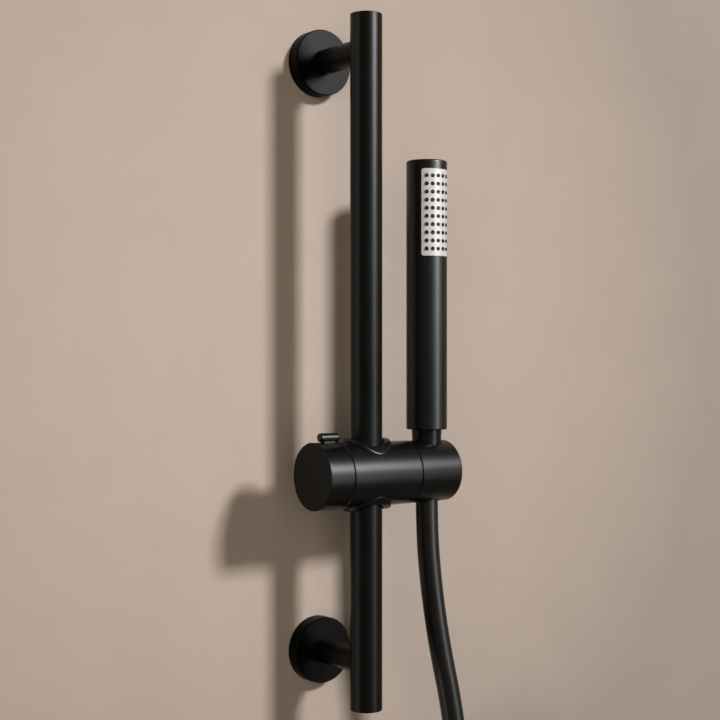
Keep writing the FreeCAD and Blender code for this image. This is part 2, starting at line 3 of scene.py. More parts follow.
import bpy
import numpy as np
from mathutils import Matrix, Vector


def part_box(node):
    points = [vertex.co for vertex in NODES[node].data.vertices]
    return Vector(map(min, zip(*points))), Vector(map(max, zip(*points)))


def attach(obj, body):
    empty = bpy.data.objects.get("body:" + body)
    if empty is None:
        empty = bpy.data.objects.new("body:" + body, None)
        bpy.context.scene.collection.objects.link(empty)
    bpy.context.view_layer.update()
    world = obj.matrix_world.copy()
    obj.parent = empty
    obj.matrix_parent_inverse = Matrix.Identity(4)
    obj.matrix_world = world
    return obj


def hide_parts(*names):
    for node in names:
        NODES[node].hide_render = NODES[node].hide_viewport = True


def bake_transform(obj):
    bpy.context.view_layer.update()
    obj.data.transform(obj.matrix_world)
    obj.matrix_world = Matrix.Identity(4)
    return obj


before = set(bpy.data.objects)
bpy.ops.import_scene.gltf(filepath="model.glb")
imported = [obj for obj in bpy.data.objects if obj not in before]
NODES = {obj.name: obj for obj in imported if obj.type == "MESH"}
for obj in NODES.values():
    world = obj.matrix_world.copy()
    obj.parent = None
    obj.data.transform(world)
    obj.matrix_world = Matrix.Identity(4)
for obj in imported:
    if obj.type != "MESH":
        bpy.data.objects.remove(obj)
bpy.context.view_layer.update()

bl_info = {
    "name": "Shower slide rail",
    "version": (1, 0, 0),
    "blender": (4, 5, 0),
    "location": "View3D > Sidebar > Slide rail",
    "description": "Finishes, hose, spray nozzles and stage for a wall-mounted shower slide rail",
    "category": "Object",
}

# Nodes by finish
SLIDER = ("slider_body", "upper_rail_bush", "lower_rail_bush", "lever", "holder", "cone_nut", "outlet_nut",
          "outlet_ferrule")
RAIL = ("rail_tube",)
ROSES = ("upper_rose", "lower_rose")
POSTS = ("upper_post", "lower_post")
MOULDED = ("rail_top_plug", "rail_bottom_plug", "coil_tie")
STEEL = ("upper_wall_plate", "lower_wall_plate", "upper_grub_screw", "lower_grub_screw", "upper_post_bolt",
         "lower_post_bolt", "clamp_screw", "pivot_screw", "pivot_washer")
BRASS = ("clamp_insert", "upper_rail_nut", "lower_rail_nut", "hose_stem", "inlet_connector")
INNER = ("spray_chamber", "flow_disc", "clamp_shoe", "knob_washer")
SEALS = ("friction_ring", "inlet_washer", "outlet_washer")

# Least and greatest roughness of the black surfaces
SATIN = (0.34, 0.38)
SMOOTH = (0.29, 0.33)
RUBBERY = (0.29, 0.35)

# How strongly the black surfaces mirror
SLIDER_SHINE = 0.25
KNOB_SHINE = 0.215
RAIL_SHINE = 0.16
ROSE_SHINE = 0.045
POST_SHINE = 0.10
MOULDED_SHINE = 0.385
RUBBER_SHINE = 0.28
HOSE_SHINE = 0.40

# The knob's matt end: its roughness, and how far behind the end face it begins and is complete, in metres
KNOB_END_ROUGHNESS = 0.80
KNOB_END_MARGINS = (0.0010, 0.0002)

# Colours of the pieces inside, and the stretch of the metals' grain into turning lines
STEEL_COLOUR = (0.56, 0.56, 0.57)
BRASS_COLOUR = (0.62, 0.43, 0.17)
PLASTIC_COLOUR = (0.5, 0.5, 0.48)
TURNING_LINES = (1, 1, 12)

# Part of the noise's range that the slow shade is spread from
NOISE_RANGE = (0.3, 0.7)

# Places of the colour sockets on a Mix node
MIX_LOW = 6
MIX_HIGH = 7
MIX_RESULT = 2

# The hose's turns below the cone nut as in the part's source: x, swing away from the wall and z, in metres
HOSE_TURNS = ((0.060, 0.0, -0.137), (0.0625, 0.002, -0.180), (0.0679, 0.0057, -0.229),
              (0.0796, 0.0097, -0.287), (0.085, 0.0125, -0.350), (0.083, 0.0125, -0.414))

# The coil's turns and its control points in a turn, and the order and steps of the hose's spline
COIL_TURNS = 2
COIL_POINTS = 24
SPLINE_ORDER = 3
SPLINE_STEPS = 8

# Steps of the nozzles, their mat and the thread
NOZZLE_SIDES = 16
TIP_STEPS = 6
SHEET_STEPS = 25
THREAD_SIDES = 40

# Corners of the thread's ridge: height as a share of its depth, and place as a share of the pitch
RIDGE_HEIGHTS = (0, 1, 1, 0)
RIDGE_PLACES = (-0.42, -0.06, 0.06, 0.42)

# The wall: half its width, distance behind the roses, and size of its openings as a share of a rose
WALL_REACH = 4.0
WALL_BEHIND = 0.0005
OPENING_SHARE = 0.9

# The wall's colour: its drift of tint, and its painted falloff of light: the lit centre, and how far from it
# which share of the colour is left
WALL_TINT = (0.98, 1.015)
LIT_CENTRE = (-0.02, WALL_BEHIND, 0.02)
PAINTED_FALLOFF_REACH = 0.5
PAINTED_FALLOFF_END = 0.71

# The wall's skin: size of its grain and patches and depth of its bump in metres, roughness and shine
WALL_GRAIN = 0.004
WALL_PATCH = 0.06
WALL_BUMP = 0.0002
WALL_ROUGHNESS = 0.9
WALL_SHINE = 0.1

# The wall in reflections: where along x its glow begins and is complete, its strength and its colour
MIRROR_RANGE = (-0.15, -0.26)
MIRROR_STRENGTH = 1.60
MIRROR_COLOUR = (1.0, 0.97, 0.92, 1.0)

# Lamps: distance from the rail, width and height in metres, and the tint of the fill and the surround
KEY_DISTANCE = 5.0
KEY_SIZE = (0.72, 0.64)
GLOSS_DISTANCE = 2.5
GLOSS_SIZE = (0.60, 0.75)
GLOW_SIZE = (0.50, 1.6)
FILL_DISTANCE = 3.0
FILL_SIZE = (3.0, 3.0)
WARM = (1.0, 0.90, 0.76)

# Camera: width of its sensor in millimetres and nearest distance in metres
SENSOR_WIDTH = 36.0
CLIP_START = 0.05


def middle(node):
    """Centre of a node's box."""
    low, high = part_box(node)
    return (low + high) / 2


def half_size(node):
    """Half the size of a node's box."""
    low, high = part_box(node)
    return (high - low) / 2


# Settings that a user would change


class FinishSettings(bpy.types.PropertyGroup):
    """Colours of the part and of the wall."""

    coat: bpy.props.FloatVectorProperty(
        name="Coat", description="Satin black of the coated metal", subtype="COLOR", size=3,
        default=(0.0018, 0.0018, 0.0018), min=0.0, max=1.0)
    moulding: bpy.props.FloatVectorProperty(
        name="Moulding", description="Black of the moulded plugs and hand shower", subtype="COLOR", size=3,
        default=(0.0018, 0.0018, 0.0018), min=0.0, max=1.0)
    face: bpy.props.FloatVectorProperty(
        name="Spray face", description="White of the nozzle plate", subtype="COLOR", size=3,
        default=(0.60, 0.60, 0.595), min=0.0, max=1.0)
    rubber: bpy.props.FloatVectorProperty(
        name="Rubber", description="Black of nozzles, hose and seals", subtype="COLOR", size=3,
        default=(0.0018, 0.0018, 0.0018), min=0.0, max=1.0)
    wall: bpy.props.FloatVectorProperty(
        name="Wall", description="Beige of the plain backdrop", subtype="COLOR", size=3,
        default=(0.505, 0.416, 0.356), min=0.0, max=1.0)


class HoseSettings(bpy.types.PropertyGroup):
    """Sizes of the hose."""

    length: bpy.props.FloatProperty(
        name="Length", description="Length of the hose with its fittings", default=1.5, unit="LENGTH")
    sides: bpy.props.IntProperty(name="Sides", description="Points round the hose", default=32, min=8)
    bend_reach: bpy.props.FloatProperty(
        name="Bend reach", description="Length below the nut that bends when the holder tilts",
        default=0.15, unit="LENGTH")


class SpraySettings(bpy.types.PropertyGroup):
    """Sizes of the nozzles and of the mat that joins them."""

    columns: bpy.props.IntProperty(name="Columns", description="Nozzles across", default=5, min=1)
    rows: bpy.props.IntProperty(name="Rows", description="Nozzles along", default=10, min=1)
    column_angle: bpy.props.FloatProperty(
        name="Column angle", description="Angle from one column to the next",
        default=math.radians(17.2), subtype="ANGLE")
    row_pitch: bpy.props.FloatProperty(
        name="Row pitch", description="Height from one row to the next", default=0.00643, unit="LENGTH")
    turn: bpy.props.FloatProperty(
        name="Turn", description="Turn of the hand shower in its holder",
        default=math.radians(-4.0), subtype="ANGLE")
    radius: bpy.props.FloatProperty(
        name="Radius", description="Radius of a nozzle at its root", default=0.00155, unit="LENGTH")
    tip_radius: bpy.props.FloatProperty(
        name="Tip radius", description="Radius of a nozzle below its rounded tip",
        default=0.0014, unit="LENGTH")
    tip_round: bpy.props.FloatProperty(
        name="Tip round", description="Rounding of a nozzle's tip", default=0.0005, unit="LENGTH")
    bore: bpy.props.FloatProperty(
        name="Bore", description="Radius of the water's way through a nozzle",
        default=0.00035, unit="LENGTH")
    proud: bpy.props.FloatProperty(
        name="Proud", description="Height of a nozzle above the hand shower's skin",
        default=0.00074, unit="LENGTH")
    sheet: bpy.props.FloatProperty(
        name="Sheet", description="Thickness of the mat behind the plate", default=0.0013, unit="LENGTH")
    sheet_depth: bpy.props.FloatProperty(
        name="Sheet depth", description="Depth of the mat below the hand shower's skin",
        default=0.00165, unit="LENGTH")
    sheet_share: bpy.props.FloatProperty(
        name="Sheet share", description="Width of the mat as a share of the plate's width", default=0.97)


class ThreadSettings(bpy.types.PropertyGroup):
    """Sizes of the thread in the hose's nut."""

    radius: bpy.props.FloatProperty(
        name="Radius", description="Radius of the hose nut's thread", default=0.01045, unit="LENGTH")
    length: bpy.props.FloatProperty(
        name="Length", description="Length of the thread", default=0.0115, unit="LENGTH")
    pitch: bpy.props.FloatProperty(
        name="Pitch", description="Rise of the half-inch pipe thread in one turn",
        default=0.001814, unit="LENGTH")
    depth: bpy.props.FloatProperty(
        name="Depth", description="Height of the ridge", default=0.0009, unit="LENGTH")


class StageSettings(bpy.types.PropertyGroup):
    """Camera and lamps."""

    lens: bpy.props.FloatProperty(name="Lens", description="Focal length", default=73.0, unit="CAMERA")
    yaw: bpy.props.FloatProperty(
        name="Yaw", description="Turn of the view to the right of square-on",
        default=math.radians(36.0), subtype="ANGLE")
    distance: bpy.props.FloatProperty(
        name="Distance", description="Depth of the rail in front of the camera",
        default=1.1335, unit="LENGTH")
    aside: bpy.props.FloatProperty(
        name="Aside", description="Distance of the rail to the right of the picture's middle",
        default=0.0048, unit="LENGTH")
    eye_height: bpy.props.FloatProperty(
        name="Eye height", description="Height of the camera", default=-0.003, unit="LENGTH")
    key_power: bpy.props.FloatProperty(
        name="Key", description="Power of the lamp that casts the shadows", default=240.0)
    gloss_power: bpy.props.FloatProperty(
        name="Gloss", description="Power of the broad panel that shows in the black surfaces", default=84.0)
    glow_power: bpy.props.FloatProperty(
        name="Glow", description="Power of the low strip that lifts the lower highlights", default=18.0)
    fill_power: bpy.props.FloatProperty(
        name="Fill", description="Power of the weak lamp that lifts the shadows", default=39.0)
    key_turn: bpy.props.FloatProperty(
        name="Key turn", description="Turn of the key to the right of square-on",
        default=math.radians(23.0), subtype="ANGLE")
    key_rise: bpy.props.FloatProperty(
        name="Key rise", description="Height of the key above the horizon",
        default=math.radians(30.5), subtype="ANGLE")
    gloss_turn: bpy.props.FloatProperty(
        name="Gloss turn", description="Turn of the panel and the strip to the right of square-on",
        default=math.radians(28.0), subtype="ANGLE")
    gloss_rise: bpy.props.FloatProperty(
        name="Gloss rise", description="Height of the panel above the horizon",
        default=math.radians(22.5), subtype="ANGLE")
    glow_rise: bpy.props.FloatProperty(
        name="Glow rise", description="Height of the low strip above the horizon",
        default=math.radians(-2.0), subtype="ANGLE")
    ambient: bpy.props.FloatProperty(
        name="Ambient", description="Strength of the even surrounding light", default=0.05)
    surround: bpy.props.FloatProperty(
        name="Surround", description="Strength of the surround where the camera or a reflection sees it",
        default=0.15)


class SlideRailSettings(bpy.types.PropertyGroup):
    """All settings, group by group."""

    finish: bpy.props.PointerProperty(type=FinishSettings)
    hose: bpy.props.PointerProperty(type=HoseSettings)
    spray: bpy.props.PointerProperty(type=SpraySettings)
    thread: bpy.props.PointerProperty(type=ThreadSettings)
    stage: bpy.props.PointerProperty(type=StageSettings)


# Mesh helpers


def ring_faces(rows, columns):
    """Quads between the rows of a tube of points, the last column joined to the first."""
    row = np.arange(rows - 1)[:, None]
    column = np.arange(columns)[None, :]
    following = (column + 1) % columns
    corners = (row * columns + column, row * columns + following,
               (row + 1) * columns + following, (row + 1) * columns + column)
    return np.stack(np.broadcast_arrays(*corners), axis=-1).reshape(-1, 4)


def closed_faces(rows, columns):
    """Faces of a tube of points: quads round every row and a flat cap on the first and the last."""
    first = np.arange(columns)[::-1]
    last = (rows - 1) * columns + np.arange(columns)
    return ring_faces(rows, columns), np.stack((first, last))


def copied(faces, step, copies):
    """The faces of one copy repeated, each copy's points lying a step further on."""
    shift = step * np.arange(copies)[:, None, None]
    return (faces[None] + shift).reshape(-1, faces.shape[1])


def make_piece(name, points, faces, finish):
    """A smooth mesh object at the origin from an array of points and arrays of faces."""
    mesh = bpy.data.meshes.new(name)
    mesh.from_pydata(points.reshape(-1, 3).tolist(), [], sum((group.tolist() for group in faces), []))
    mesh.polygons.foreach_set("use_smooth", np.ones(len(mesh.polygons), bool))
    mesh.materials.append(finish)
    piece = bpy.data.objects.new(name, mesh)
    bpy.context.scene.collection.objects.link(piece)
    return piece


def swept_tube(path, radius, sides):
    """Points of a tube round a path.

    Each is a point of the path plus the radius times the cosine of its angle along the normal and the sine
    along the binormal. The normal is the y axis made square to the path. The binormal is square to both.
    """
    tangent = np.gradient(path, axis=0)
    tangent /= np.linalg.norm(tangent, axis=1, keepdims=True)
    normal = np.array((0.0, 1.0, 0.0)) - tangent * tangent[:, 1:2]
    normal /= np.linalg.norm(normal, axis=1, keepdims=True)
    binormal = np.cross(tangent, normal)
    angle = np.linspace(0, 2 * math.pi, sides, endpoint=False)[None, :, None]
    return path[:, None] + radius * (np.cos(angle) * normal[:, None] + np.sin(angle) * binormal[:, None])


# Material helpers


def new_material(name):
    """A new node material, its tree and its Principled shader."""
    material = bpy.data.materials.new(name)
    material.use_nodes = True
    tree = material.node_tree
    return material, tree, tree.nodes["Principled BSDF"]


def place(tree, kind, x, y, **values):
    """A node at a place, with its plain properties set."""
    node = tree.nodes.new(kind)
    node.location = (x, y)
    for name, value in values.items():
        setattr(node, name, value)
    return node


def calculated(tree, x, y, operation, first, second):
    """Result of a Math node on two values, each a number or another node's output."""
    node = place(tree, "ShaderNodeMath", x, y, operation=operation)
    for value, socket in zip((first, second), node.inputs):
        if isinstance(value, float):
            socket.default_value = value
        else:
            tree.links.new(value, socket)
    return node.outputs["Value"]


def ramp(tree, x, y, value, source=(0.0, 1.0), result=(0.0, 1.0)):
    """A value carried from the source range to the result range in a straight line and held at the ends."""
    node = place(tree, "ShaderNodeMapRange", x, y)
    for label, number in zip(("From Min", "From Max", "To Min", "To Max"), (*source, *result)):
        node.inputs[label].default_value = number
    tree.links.new(value, node.inputs["Value"])
    return node.outputs["Result"]


def along_x(tree, x, y, position):
    """The x of a position."""
    node = place(tree, "ShaderNodeSeparateXYZ", x, y)
    tree.links.new(position, node.inputs["Vector"])
    return node.outputs["X"]


def distance_from(tree, x, y, position, point):
    """Distance of a position from a fixed point."""
    node = place(tree, "ShaderNodeVectorMath", x, y, operation="DISTANCE")
    node.inputs[1].default_value = point
    tree.links.new(position, node.inputs[0])
    return node.outputs["Value"]


def sized_noise(group, source, size, detail, y):
    """Noise in a group with features of the size that a group input gives: its scale is 1 divided by it."""
    scale = calculated(group, -480, y, "DIVIDE", 1.0, source.outputs[size])
    noise = place(group, "ShaderNodeTexNoise", -260, y)
    noise.inputs["Detail"].default_value = detail
    group.links.new(source.outputs["Vector"], noise.inputs["Vector"])
    group.links.new(scale, noise.inputs["Scale"])
    return noise.outputs["Fac"]


def grain_group():
    """Fine skin of a coated or moulded surface: bump height and a slow shade from 0 to 1."""
    found = bpy.data.node_groups.get("Surface grain")
    if found:
        return found
    group = bpy.data.node_groups.new("Surface grain", "ShaderNodeTree")
    group.interface.new_socket("Vector", in_out="INPUT", socket_type="NodeSocketVector")
    for label, size in (("Grain size", 0.0006), ("Patch size", 0.04)):
        socket = group.interface.new_socket(label, in_out="INPUT", socket_type="NodeSocketFloat")
        socket.default_value = size
    for label in ("Height", "Shade"):
        group.interface.new_socket(label, in_out="OUTPUT", socket_type="NodeSocketFloat")
    source = place(group, "NodeGroupInput", -700, 0)
    result = place(group, "NodeGroupOutput", 500, 0)
    fine = sized_noise(group, source, "Grain size", detail=2.0, y=120)
    patch = sized_noise(group, source, "Patch size", detail=3.0, y=-140)
    group.links.new(fine, result.inputs["Height"])
    group.links.new(ramp(group, 40, -140, patch, source=NOISE_RANGE), result.inputs["Shade"])
    return group


def skin_outputs(tree, position, grain, patch):
    """Height and shade of the grain group in a material, with its two sizes in metres."""
    skin = place(tree, "ShaderNodeGroup", -700, 0, node_tree=grain_group())
    skin.inputs["Grain size"].default_value = grain
    skin.inputs["Patch size"].default_value = patch
    tree.links.new(position, skin.inputs["Vector"])
    return skin.outputs["Height"], skin.outputs["Shade"]


def colour_between(tree, factor, low, high):
    """Colour that goes from one to another with a factor."""
    mix = place(tree, "ShaderNodeMix", -420, 200, data_type="RGBA")
    mix.inputs[MIX_LOW].default_value = (*low, 1.0)
    mix.inputs[MIX_HIGH].default_value = (*high, 1.0)
    tree.links.new(factor, mix.inputs["Factor"])
    return mix.outputs[MIX_RESULT]


def add_relief(tree, shader, height, depth):
    """Bump of a depth in metres on a shader's normal."""
    relief = place(tree, "ShaderNodeBump", -420, -300)
    relief.inputs["Distance"].default_value = depth
    tree.links.new(height, relief.inputs["Height"])
    tree.links.new(relief.outputs["Normal"], shader.inputs["Normal"])


def grained(name, colour, lift, roughness, grain, patch, bump, shine=0.5, metallic=0.0, stretch=None):
    """Material with a fine grain, whose sizes are in metres.

    With the slow shade its colour goes up to lift times itself, and its roughness from least to greatest.
    The bump follows the grain. Shine is how strongly it mirrors, and stretch draws the grain into lines.
    """
    material, tree, shader = new_material(name)
    position = place(tree, "ShaderNodeTexCoord", -1100, 0).outputs["Object"]
    if stretch:
        mapping = place(tree, "ShaderNodeMapping", -920, 0)
        mapping.inputs["Scale"].default_value = stretch
        tree.links.new(position, mapping.inputs["Vector"])
        position = mapping.outputs["Vector"]
    height, shade = skin_outputs(tree, position, grain, patch)
    tint = colour_between(tree, shade, colour, [min(1.0, channel * lift) for channel in colour])
    tree.links.new(tint, shader.inputs["Base Color"])
    tree.links.new(ramp(tree, -420, -40, shade, result=roughness), shader.inputs["Roughness"])
    add_relief(tree, shader, height, bump)
    shader.inputs["Specular IOR Level"].default_value = shine
    shader.inputs["Metallic"].default_value = metallic
    return material


def coated_black(name, colour, shine, roughness):
    """Satin powder coat on metal."""
    return grained(name, colour, lift=1.35, roughness=roughness, grain=0.0005, patch=0.05, bump=0.000004,
                   shine=shine)


def knob_black(colour, end):
    """The coat on the knob, with a matt end face at a place along x."""
    material = coated_black("Knob coat", colour, KNOB_SHINE, SMOOTH)
    tree = material.node_tree
    roughness = tree.nodes["Principled BSDF"].inputs["Roughness"]
    position = place(tree, "ShaderNodeTexCoord", -700, -600).outputs["Object"]
    margins = [end + margin for margin in KNOB_END_MARGINS]
    flat = ramp(tree, -340, -600, along_x(tree, -520, -600, position), source=margins)
    either = place(tree, "ShaderNodeMix", -160, -400)
    tree.links.new(flat, either.inputs["Factor"])
    tree.links.new(roughness.links[0].from_socket, either.inputs["A"])
    either.inputs["B"].default_value = KNOB_END_ROUGHNESS
    tree.links.new(either.outputs["Result"], roughness)
    return material


def moulded_black(colour):
    """Satin moulded plastic, a little finer and glossier than the coat."""
    return grained("Moulded black", colour, lift=1.4, roughness=SATIN, grain=0.0004, patch=0.06,
                   bump=0.000003, shine=MOULDED_SHINE)


def face_white(colour):
    """Satin white plastic of the nozzle plate."""
    return grained("Spray face white", colour, lift=1.05, roughness=(0.38, 0.46), grain=0.0005, patch=0.012,
                   bump=0.000003)


def soft_black(colour):
    """Smooth black silicone of the nozzles and seals."""
    return grained("Soft black", colour, lift=1.5, roughness=RUBBERY, grain=0.0007, patch=0.03, bump=0.000006,
                   shine=RUBBER_SHINE)


def hose_black(colour):
    """Smooth plastic skin of the hose, a little glossier than the silicone."""
    return grained("Hose black", colour, lift=1.4, roughness=SATIN, grain=0.0007, patch=0.03, bump=0.000003,
                   shine=HOSE_SHINE)


def turned_steel():
    """Bright steel with fine turning lines."""
    return grained("Turned steel", STEEL_COLOUR, lift=1.1, roughness=(0.28, 0.4), grain=0.0004, patch=0.01,
                   bump=0.000004, metallic=1.0, stretch=TURNING_LINES)


def turned_brass():
    """Yellow brass with fine turning lines."""
    return grained("Turned brass", BRASS_COLOUR, lift=1.15, roughness=(0.25, 0.38), grain=0.0004, patch=0.01,
                   bump=0.000004, metallic=1.0, stretch=TURNING_LINES)


def natural_plastic():
    """Uncoloured moulded plastic of inner pieces."""
    return grained("Natural plastic", PLASTIC_COLOUR, lift=1.1, roughness=(0.45, 0.55), grain=0.0006,
                   patch=0.02, bump=0.000004)


def wall_colour_with_painted_falloff(tree, position, shade, colour):
    """The wall's colour with its drift of tint and a painted falloff of light: darker with the squared
    distance from its lit centre.
    """
    low, high = ([channel * share for channel in colour] for share in WALL_TINT)
    # Painted falloff of light: the colour darkens with the squared distance from the lit centre, as if a lamp
    # lit the middle of the wall
    away = distance_from(tree, -700, 420, position, LIT_CENTRE)
    square = calculated(tree, -560, 420, "POWER", away, 2.0)
    painted_falloff = ramp(tree, -400, 420, square, source=(0.0, PAINTED_FALLOFF_REACH ** 2), result=(1.0, PAINTED_FALLOFF_END))
    colour_with_painted_falloff = place(tree, "ShaderNodeVectorMath", -200, 300, operation="SCALE")
    tree.links.new(colour_between(tree, shade, low, high), colour_with_painted_falloff.inputs["Vector"])
    tree.links.new(painted_falloff, colour_with_painted_falloff.inputs["Scale"])
    return colour_with_painted_falloff.outputs["Vector"]


def wall_glow(tree, position):
    """Glow that only reflections see, growing to the left as if a window lit that part of the wall."""
    bright = ramp(tree, -500, -480, along_x(tree, -700, -480, position), source=MIRROR_RANGE,
                  result=(0.0, MIRROR_STRENGTH))
    ray = place(tree, "ShaderNodeLightPath", -500, -740)
    return calculated(tree, -300, -560, "MULTIPLY", bright, ray.outputs["Is Glossy Ray"])


def wall_gaps(tree, position, openings, radius):
    """Mask of what isn't drawn: the wall's back, and all that is within the radius of an opening's centre."""
    unseen = place(tree, "ShaderNodeNewGeometry", 0, 300).outputs["Backfacing"]
    for number, opening in enumerate(openings):
        y = 600 + 200 * number
        away = distance_from(tree, -700, y, position, opening)
        inside = calculated(tree, -500, y, "LESS_THAN", away, radius)
        unseen = calculated(tree, -300, y, "MAXIMUM", unseen, inside)
    return unseen


def plaster(colour, openings, radius):
    """Plain beige backdrop with a fine skin and a painted falloff of light, see-through from behind and in
    its openings.
    """
    material, tree, shader = new_material("Backdrop")
    position = place(tree, "ShaderNodeTexCoord", -900, 0).outputs["Object"]
    height, shade = skin_outputs(tree, position, WALL_GRAIN, WALL_PATCH)
    tree.links.new(wall_colour_with_painted_falloff(tree, position, shade, colour), shader.inputs["Base Color"])
    add_relief(tree, shader, height, WALL_BUMP)
    shader.inputs["Roughness"].default_value = WALL_ROUGHNESS
    shader.inputs["Specular IOR Level"].default_value = WALL_SHINE
    shader.inputs["Emission Color"].default_value = MIRROR_COLOUR
    tree.links.new(wall_glow(tree, position), shader.inputs["Emission Strength"])
    clear = place(tree, "ShaderNodeBsdfTransparent", 0, -420)
    choose = place(tree, "ShaderNodeMixShader", 300, 100)
    tree.links.new(wall_gaps(tree, position, openings, radius), choose.inputs["Fac"])
    tree.links.new(shader.outputs["BSDF"], choose.inputs[1])
    tree.links.new(clear.outputs["BSDF"], choose.inputs[2])
    tree.links.new(choose.outputs["Shader"], tree.nodes["Material Output"].inputs["Surface"])
    return material


def dress(nodes, material):
    """Puts one material on CAD nodes."""
    for name in nodes:
        slots = NODES[name].data.materials
        slots.clear()
        slots.append(material)


# Operators


class SLIDERAIL_OT_coated_metal(bpy.types.Operator):
    """Satin black coat on rail, brackets, slider, knob and nuts, and moulded black on plugs and tie"""

    bl_idname = "sliderail.coated_metal"
    bl_label = "Coated metal"

    def execute(self, context):
        finish = context.scene.slide_rail.finish
        dress(SLIDER, coated_black("Slider coat", finish.coat, SLIDER_SHINE, SMOOTH))
        dress(["knob"], knob_black(finish.coat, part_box("knob")[0].x))
        dress(RAIL, coated_black("Rail coat", finish.coat, RAIL_SHINE, SATIN))
        dress(ROSES, coated_black("Rose coat", finish.coat, ROSE_SHINE, SATIN))
        dress(POSTS, coated_black("Post coat", finish.coat, POST_SHINE, SATIN))
        dress(MOULDED, moulded_black(finish.moulding))
        return {"FINISHED"}


class SLIDERAIL_OT_inner_pieces(bpy.types.Operator):
    """Steel, brass and uncoloured plastic on the pieces inside"""

    bl_idname = "sliderail.inner_pieces"
    bl_label = "Inner pieces"

    def execute(self, context):
        dress(STEEL, turned_steel())
        dress(BRASS, turned_brass())
        dress(INNER, natural_plastic())
        return {"FINISHED"}


def nozzle_profile(settings, skin):
    """Half section of a nozzle as radius and distance from the hand shower's axis.

    It is a cone that rises from the mat, a quarter round at the tip, and a bore as deep as it is wide.
    """
    root = skin - settings.sheet_depth - settings.sheet / 2
    tip = skin + settings.proud
    sweep = np.linspace(0, math.pi / 2, TIP_STEPS)
    radius = settings.tip_radius - settings.tip_round * (1 - np.cos(sweep))
    height = tip - settings.tip_round * (1 - np.sin(sweep))
    radius = np.concatenate(((settings.radius,), radius, (settings.bore, settings.bore)))
    height = np.concatenate(((root,), height, (tip, tip - 2 * settings.bore)))
    return radius, height


def nozzle_axes(settings):
    """Height and outward direction of each nozzle, row by row."""
    column = np.arange(settings.columns) - (settings.columns - 1) / 2
    row = np.arange(settings.rows) - (settings.rows - 1) / 2
    angle, height = np.meshgrid(column * settings.column_angle + settings.turn, row * settings.row_pitch)
    outward = np.stack((np.sin(angle), -np.cos(angle), np.zeros_like(angle)), axis=-1)
    return height.ravel() + middle("nozzle_mat").z, outward.reshape(-1, 3)


def turned_copies(radius, height, places, axes, sides):
    """Points of a turned shape at many places.

    Each is its place plus the height along its axis, plus the radius times the cosine of its angle along z
    and the sine along the direction square to its axis and z.
    """
    up = np.array((0.0, 0.0, 1.0))
    aside = np.cross(axes, up)
    angle = np.linspace(0, 2 * math.pi, sides, endpoint=False)[:, None]
    spoke = np.cos(angle) * up + np.sin(angle) * aside[:, None]
    along = height[None, :, None] * axes[:, None] + places[:, None]
    return along[:, :, None] + radius[None, :, None, None] * spoke[:, None]


def mat_sheet(settings, skin):
    """Curved sheet behind the plate: an outer and an inner arc joined into a loop and drawn along z."""
    outer = skin - settings.sheet_depth
    inner = outer - settings.sheet
    half_width = half_size("nozzle_plate").x * settings.sheet_share
    sweep = np.linspace(-1, 1, SHEET_STEPS)
    outer_angle = sweep * math.asin(half_width / outer) + settings.turn
    inner_angle = sweep[::-1] * math.asin(half_width / inner) + settings.turn
    loop = np.concatenate((np.stack((np.sin(outer_angle), -np.cos(outer_angle)), axis=1) * outer,
                           np.stack((np.sin(inner_angle), -np.cos(inner_angle)), axis=1) * inner))
    low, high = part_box("nozzle_mat")
    ends = np.array((low.z, high.z))
    points = np.empty((2, len(loop), 3))
    points[:, :, :2] = loop
    points[:, :, 2] = ends[:, None]
    return points


class SLIDERAIL_OT_hand_shower(bpy.types.Operator):
    """Finishes of the hand shower and the seals, and the mat of rubber nozzles with rounded tips"""

    bl_idname = "sliderail.hand_shower"
    bl_label = "Hand shower"

    def execute(self, context):
        settings = context.scene.slide_rail
        dress(["handset_body"], bpy.data.materials["Moulded black"])
        dress(["nozzle_plate"], face_white(settings.finish.face))
        rubber = soft_black(settings.finish.rubber)
        dress(SEALS, rubber)
        self.nozzles(settings.spray, rubber)
        return {"FINISHED"}

    def nozzles(self, settings, rubber):
        """The sheet and its nozzles as one piece in place of the plain mat."""
        body = middle("handset_body")
        skin = half_size("handset_body").x
        radius, height = nozzle_profile(settings, skin)
        level, outward = nozzle_axes(settings)
        places = np.stack((np.full_like(level, body.x), np.full_like(level, body.y), level), axis=1)
        spikes = turned_copies(radius, height, places, outward, NOZZLE_SIDES)
        sheet = mat_sheet(settings, skin) + np.array((body.x, body.y, 0))
        size = len(radius) * NOZZLE_SIDES
        faces = [copied(group, size, len(level)) for group in closed_faces(len(radius), NOZZLE_SIDES)]
        faces += [group + size * len(level) for group in closed_faces(2, sheet.shape[1])]
        points = np.concatenate((spikes.reshape(-1, 3), sheet.reshape(-1, 3)))
        mat = make_piece("nozzles", points, faces, rubber)
        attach(mat, "holder")
        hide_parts("nozzle_mat")


class SLIDERAIL_OT_thread(bpy.types.Operator):
    """Thread in the nut at the hose's end: a ridge that stands inwards and rises by its pitch each turn"""

    bl_idname = "sliderail.thread"
    bl_label = "Hose thread"

    def execute(self, context):
        settings = context.scene.slide_rail.thread
        nut = middle("outlet_nut")
        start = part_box("outlet_nut")[0].z + settings.pitch / 2
        turns = (settings.length - settings.pitch) / settings.pitch
        angle = np.linspace(0, turns * 2 * math.pi, int(turns * THREAD_SIDES))
        radius = settings.radius - settings.depth * np.array(RIDGE_HEIGHTS)
        rise = settings.pitch * np.array(RIDGE_PLACES)
        points = np.stack((nut.x + np.cos(angle)[:, None] * radius, nut.y + np.sin(angle)[:, None] * radius,
                           start + (angle / (2 * math.pi) * settings.pitch)[:, None] + rise), axis=-1)
        faces = closed_faces(len(angle), len(RIDGE_PLACES))
        thread = make_piece("outlet_thread", points, faces, bpy.data.materials["Turned brass"])
        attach(thread, "slider")
        return {"FINISHED"}


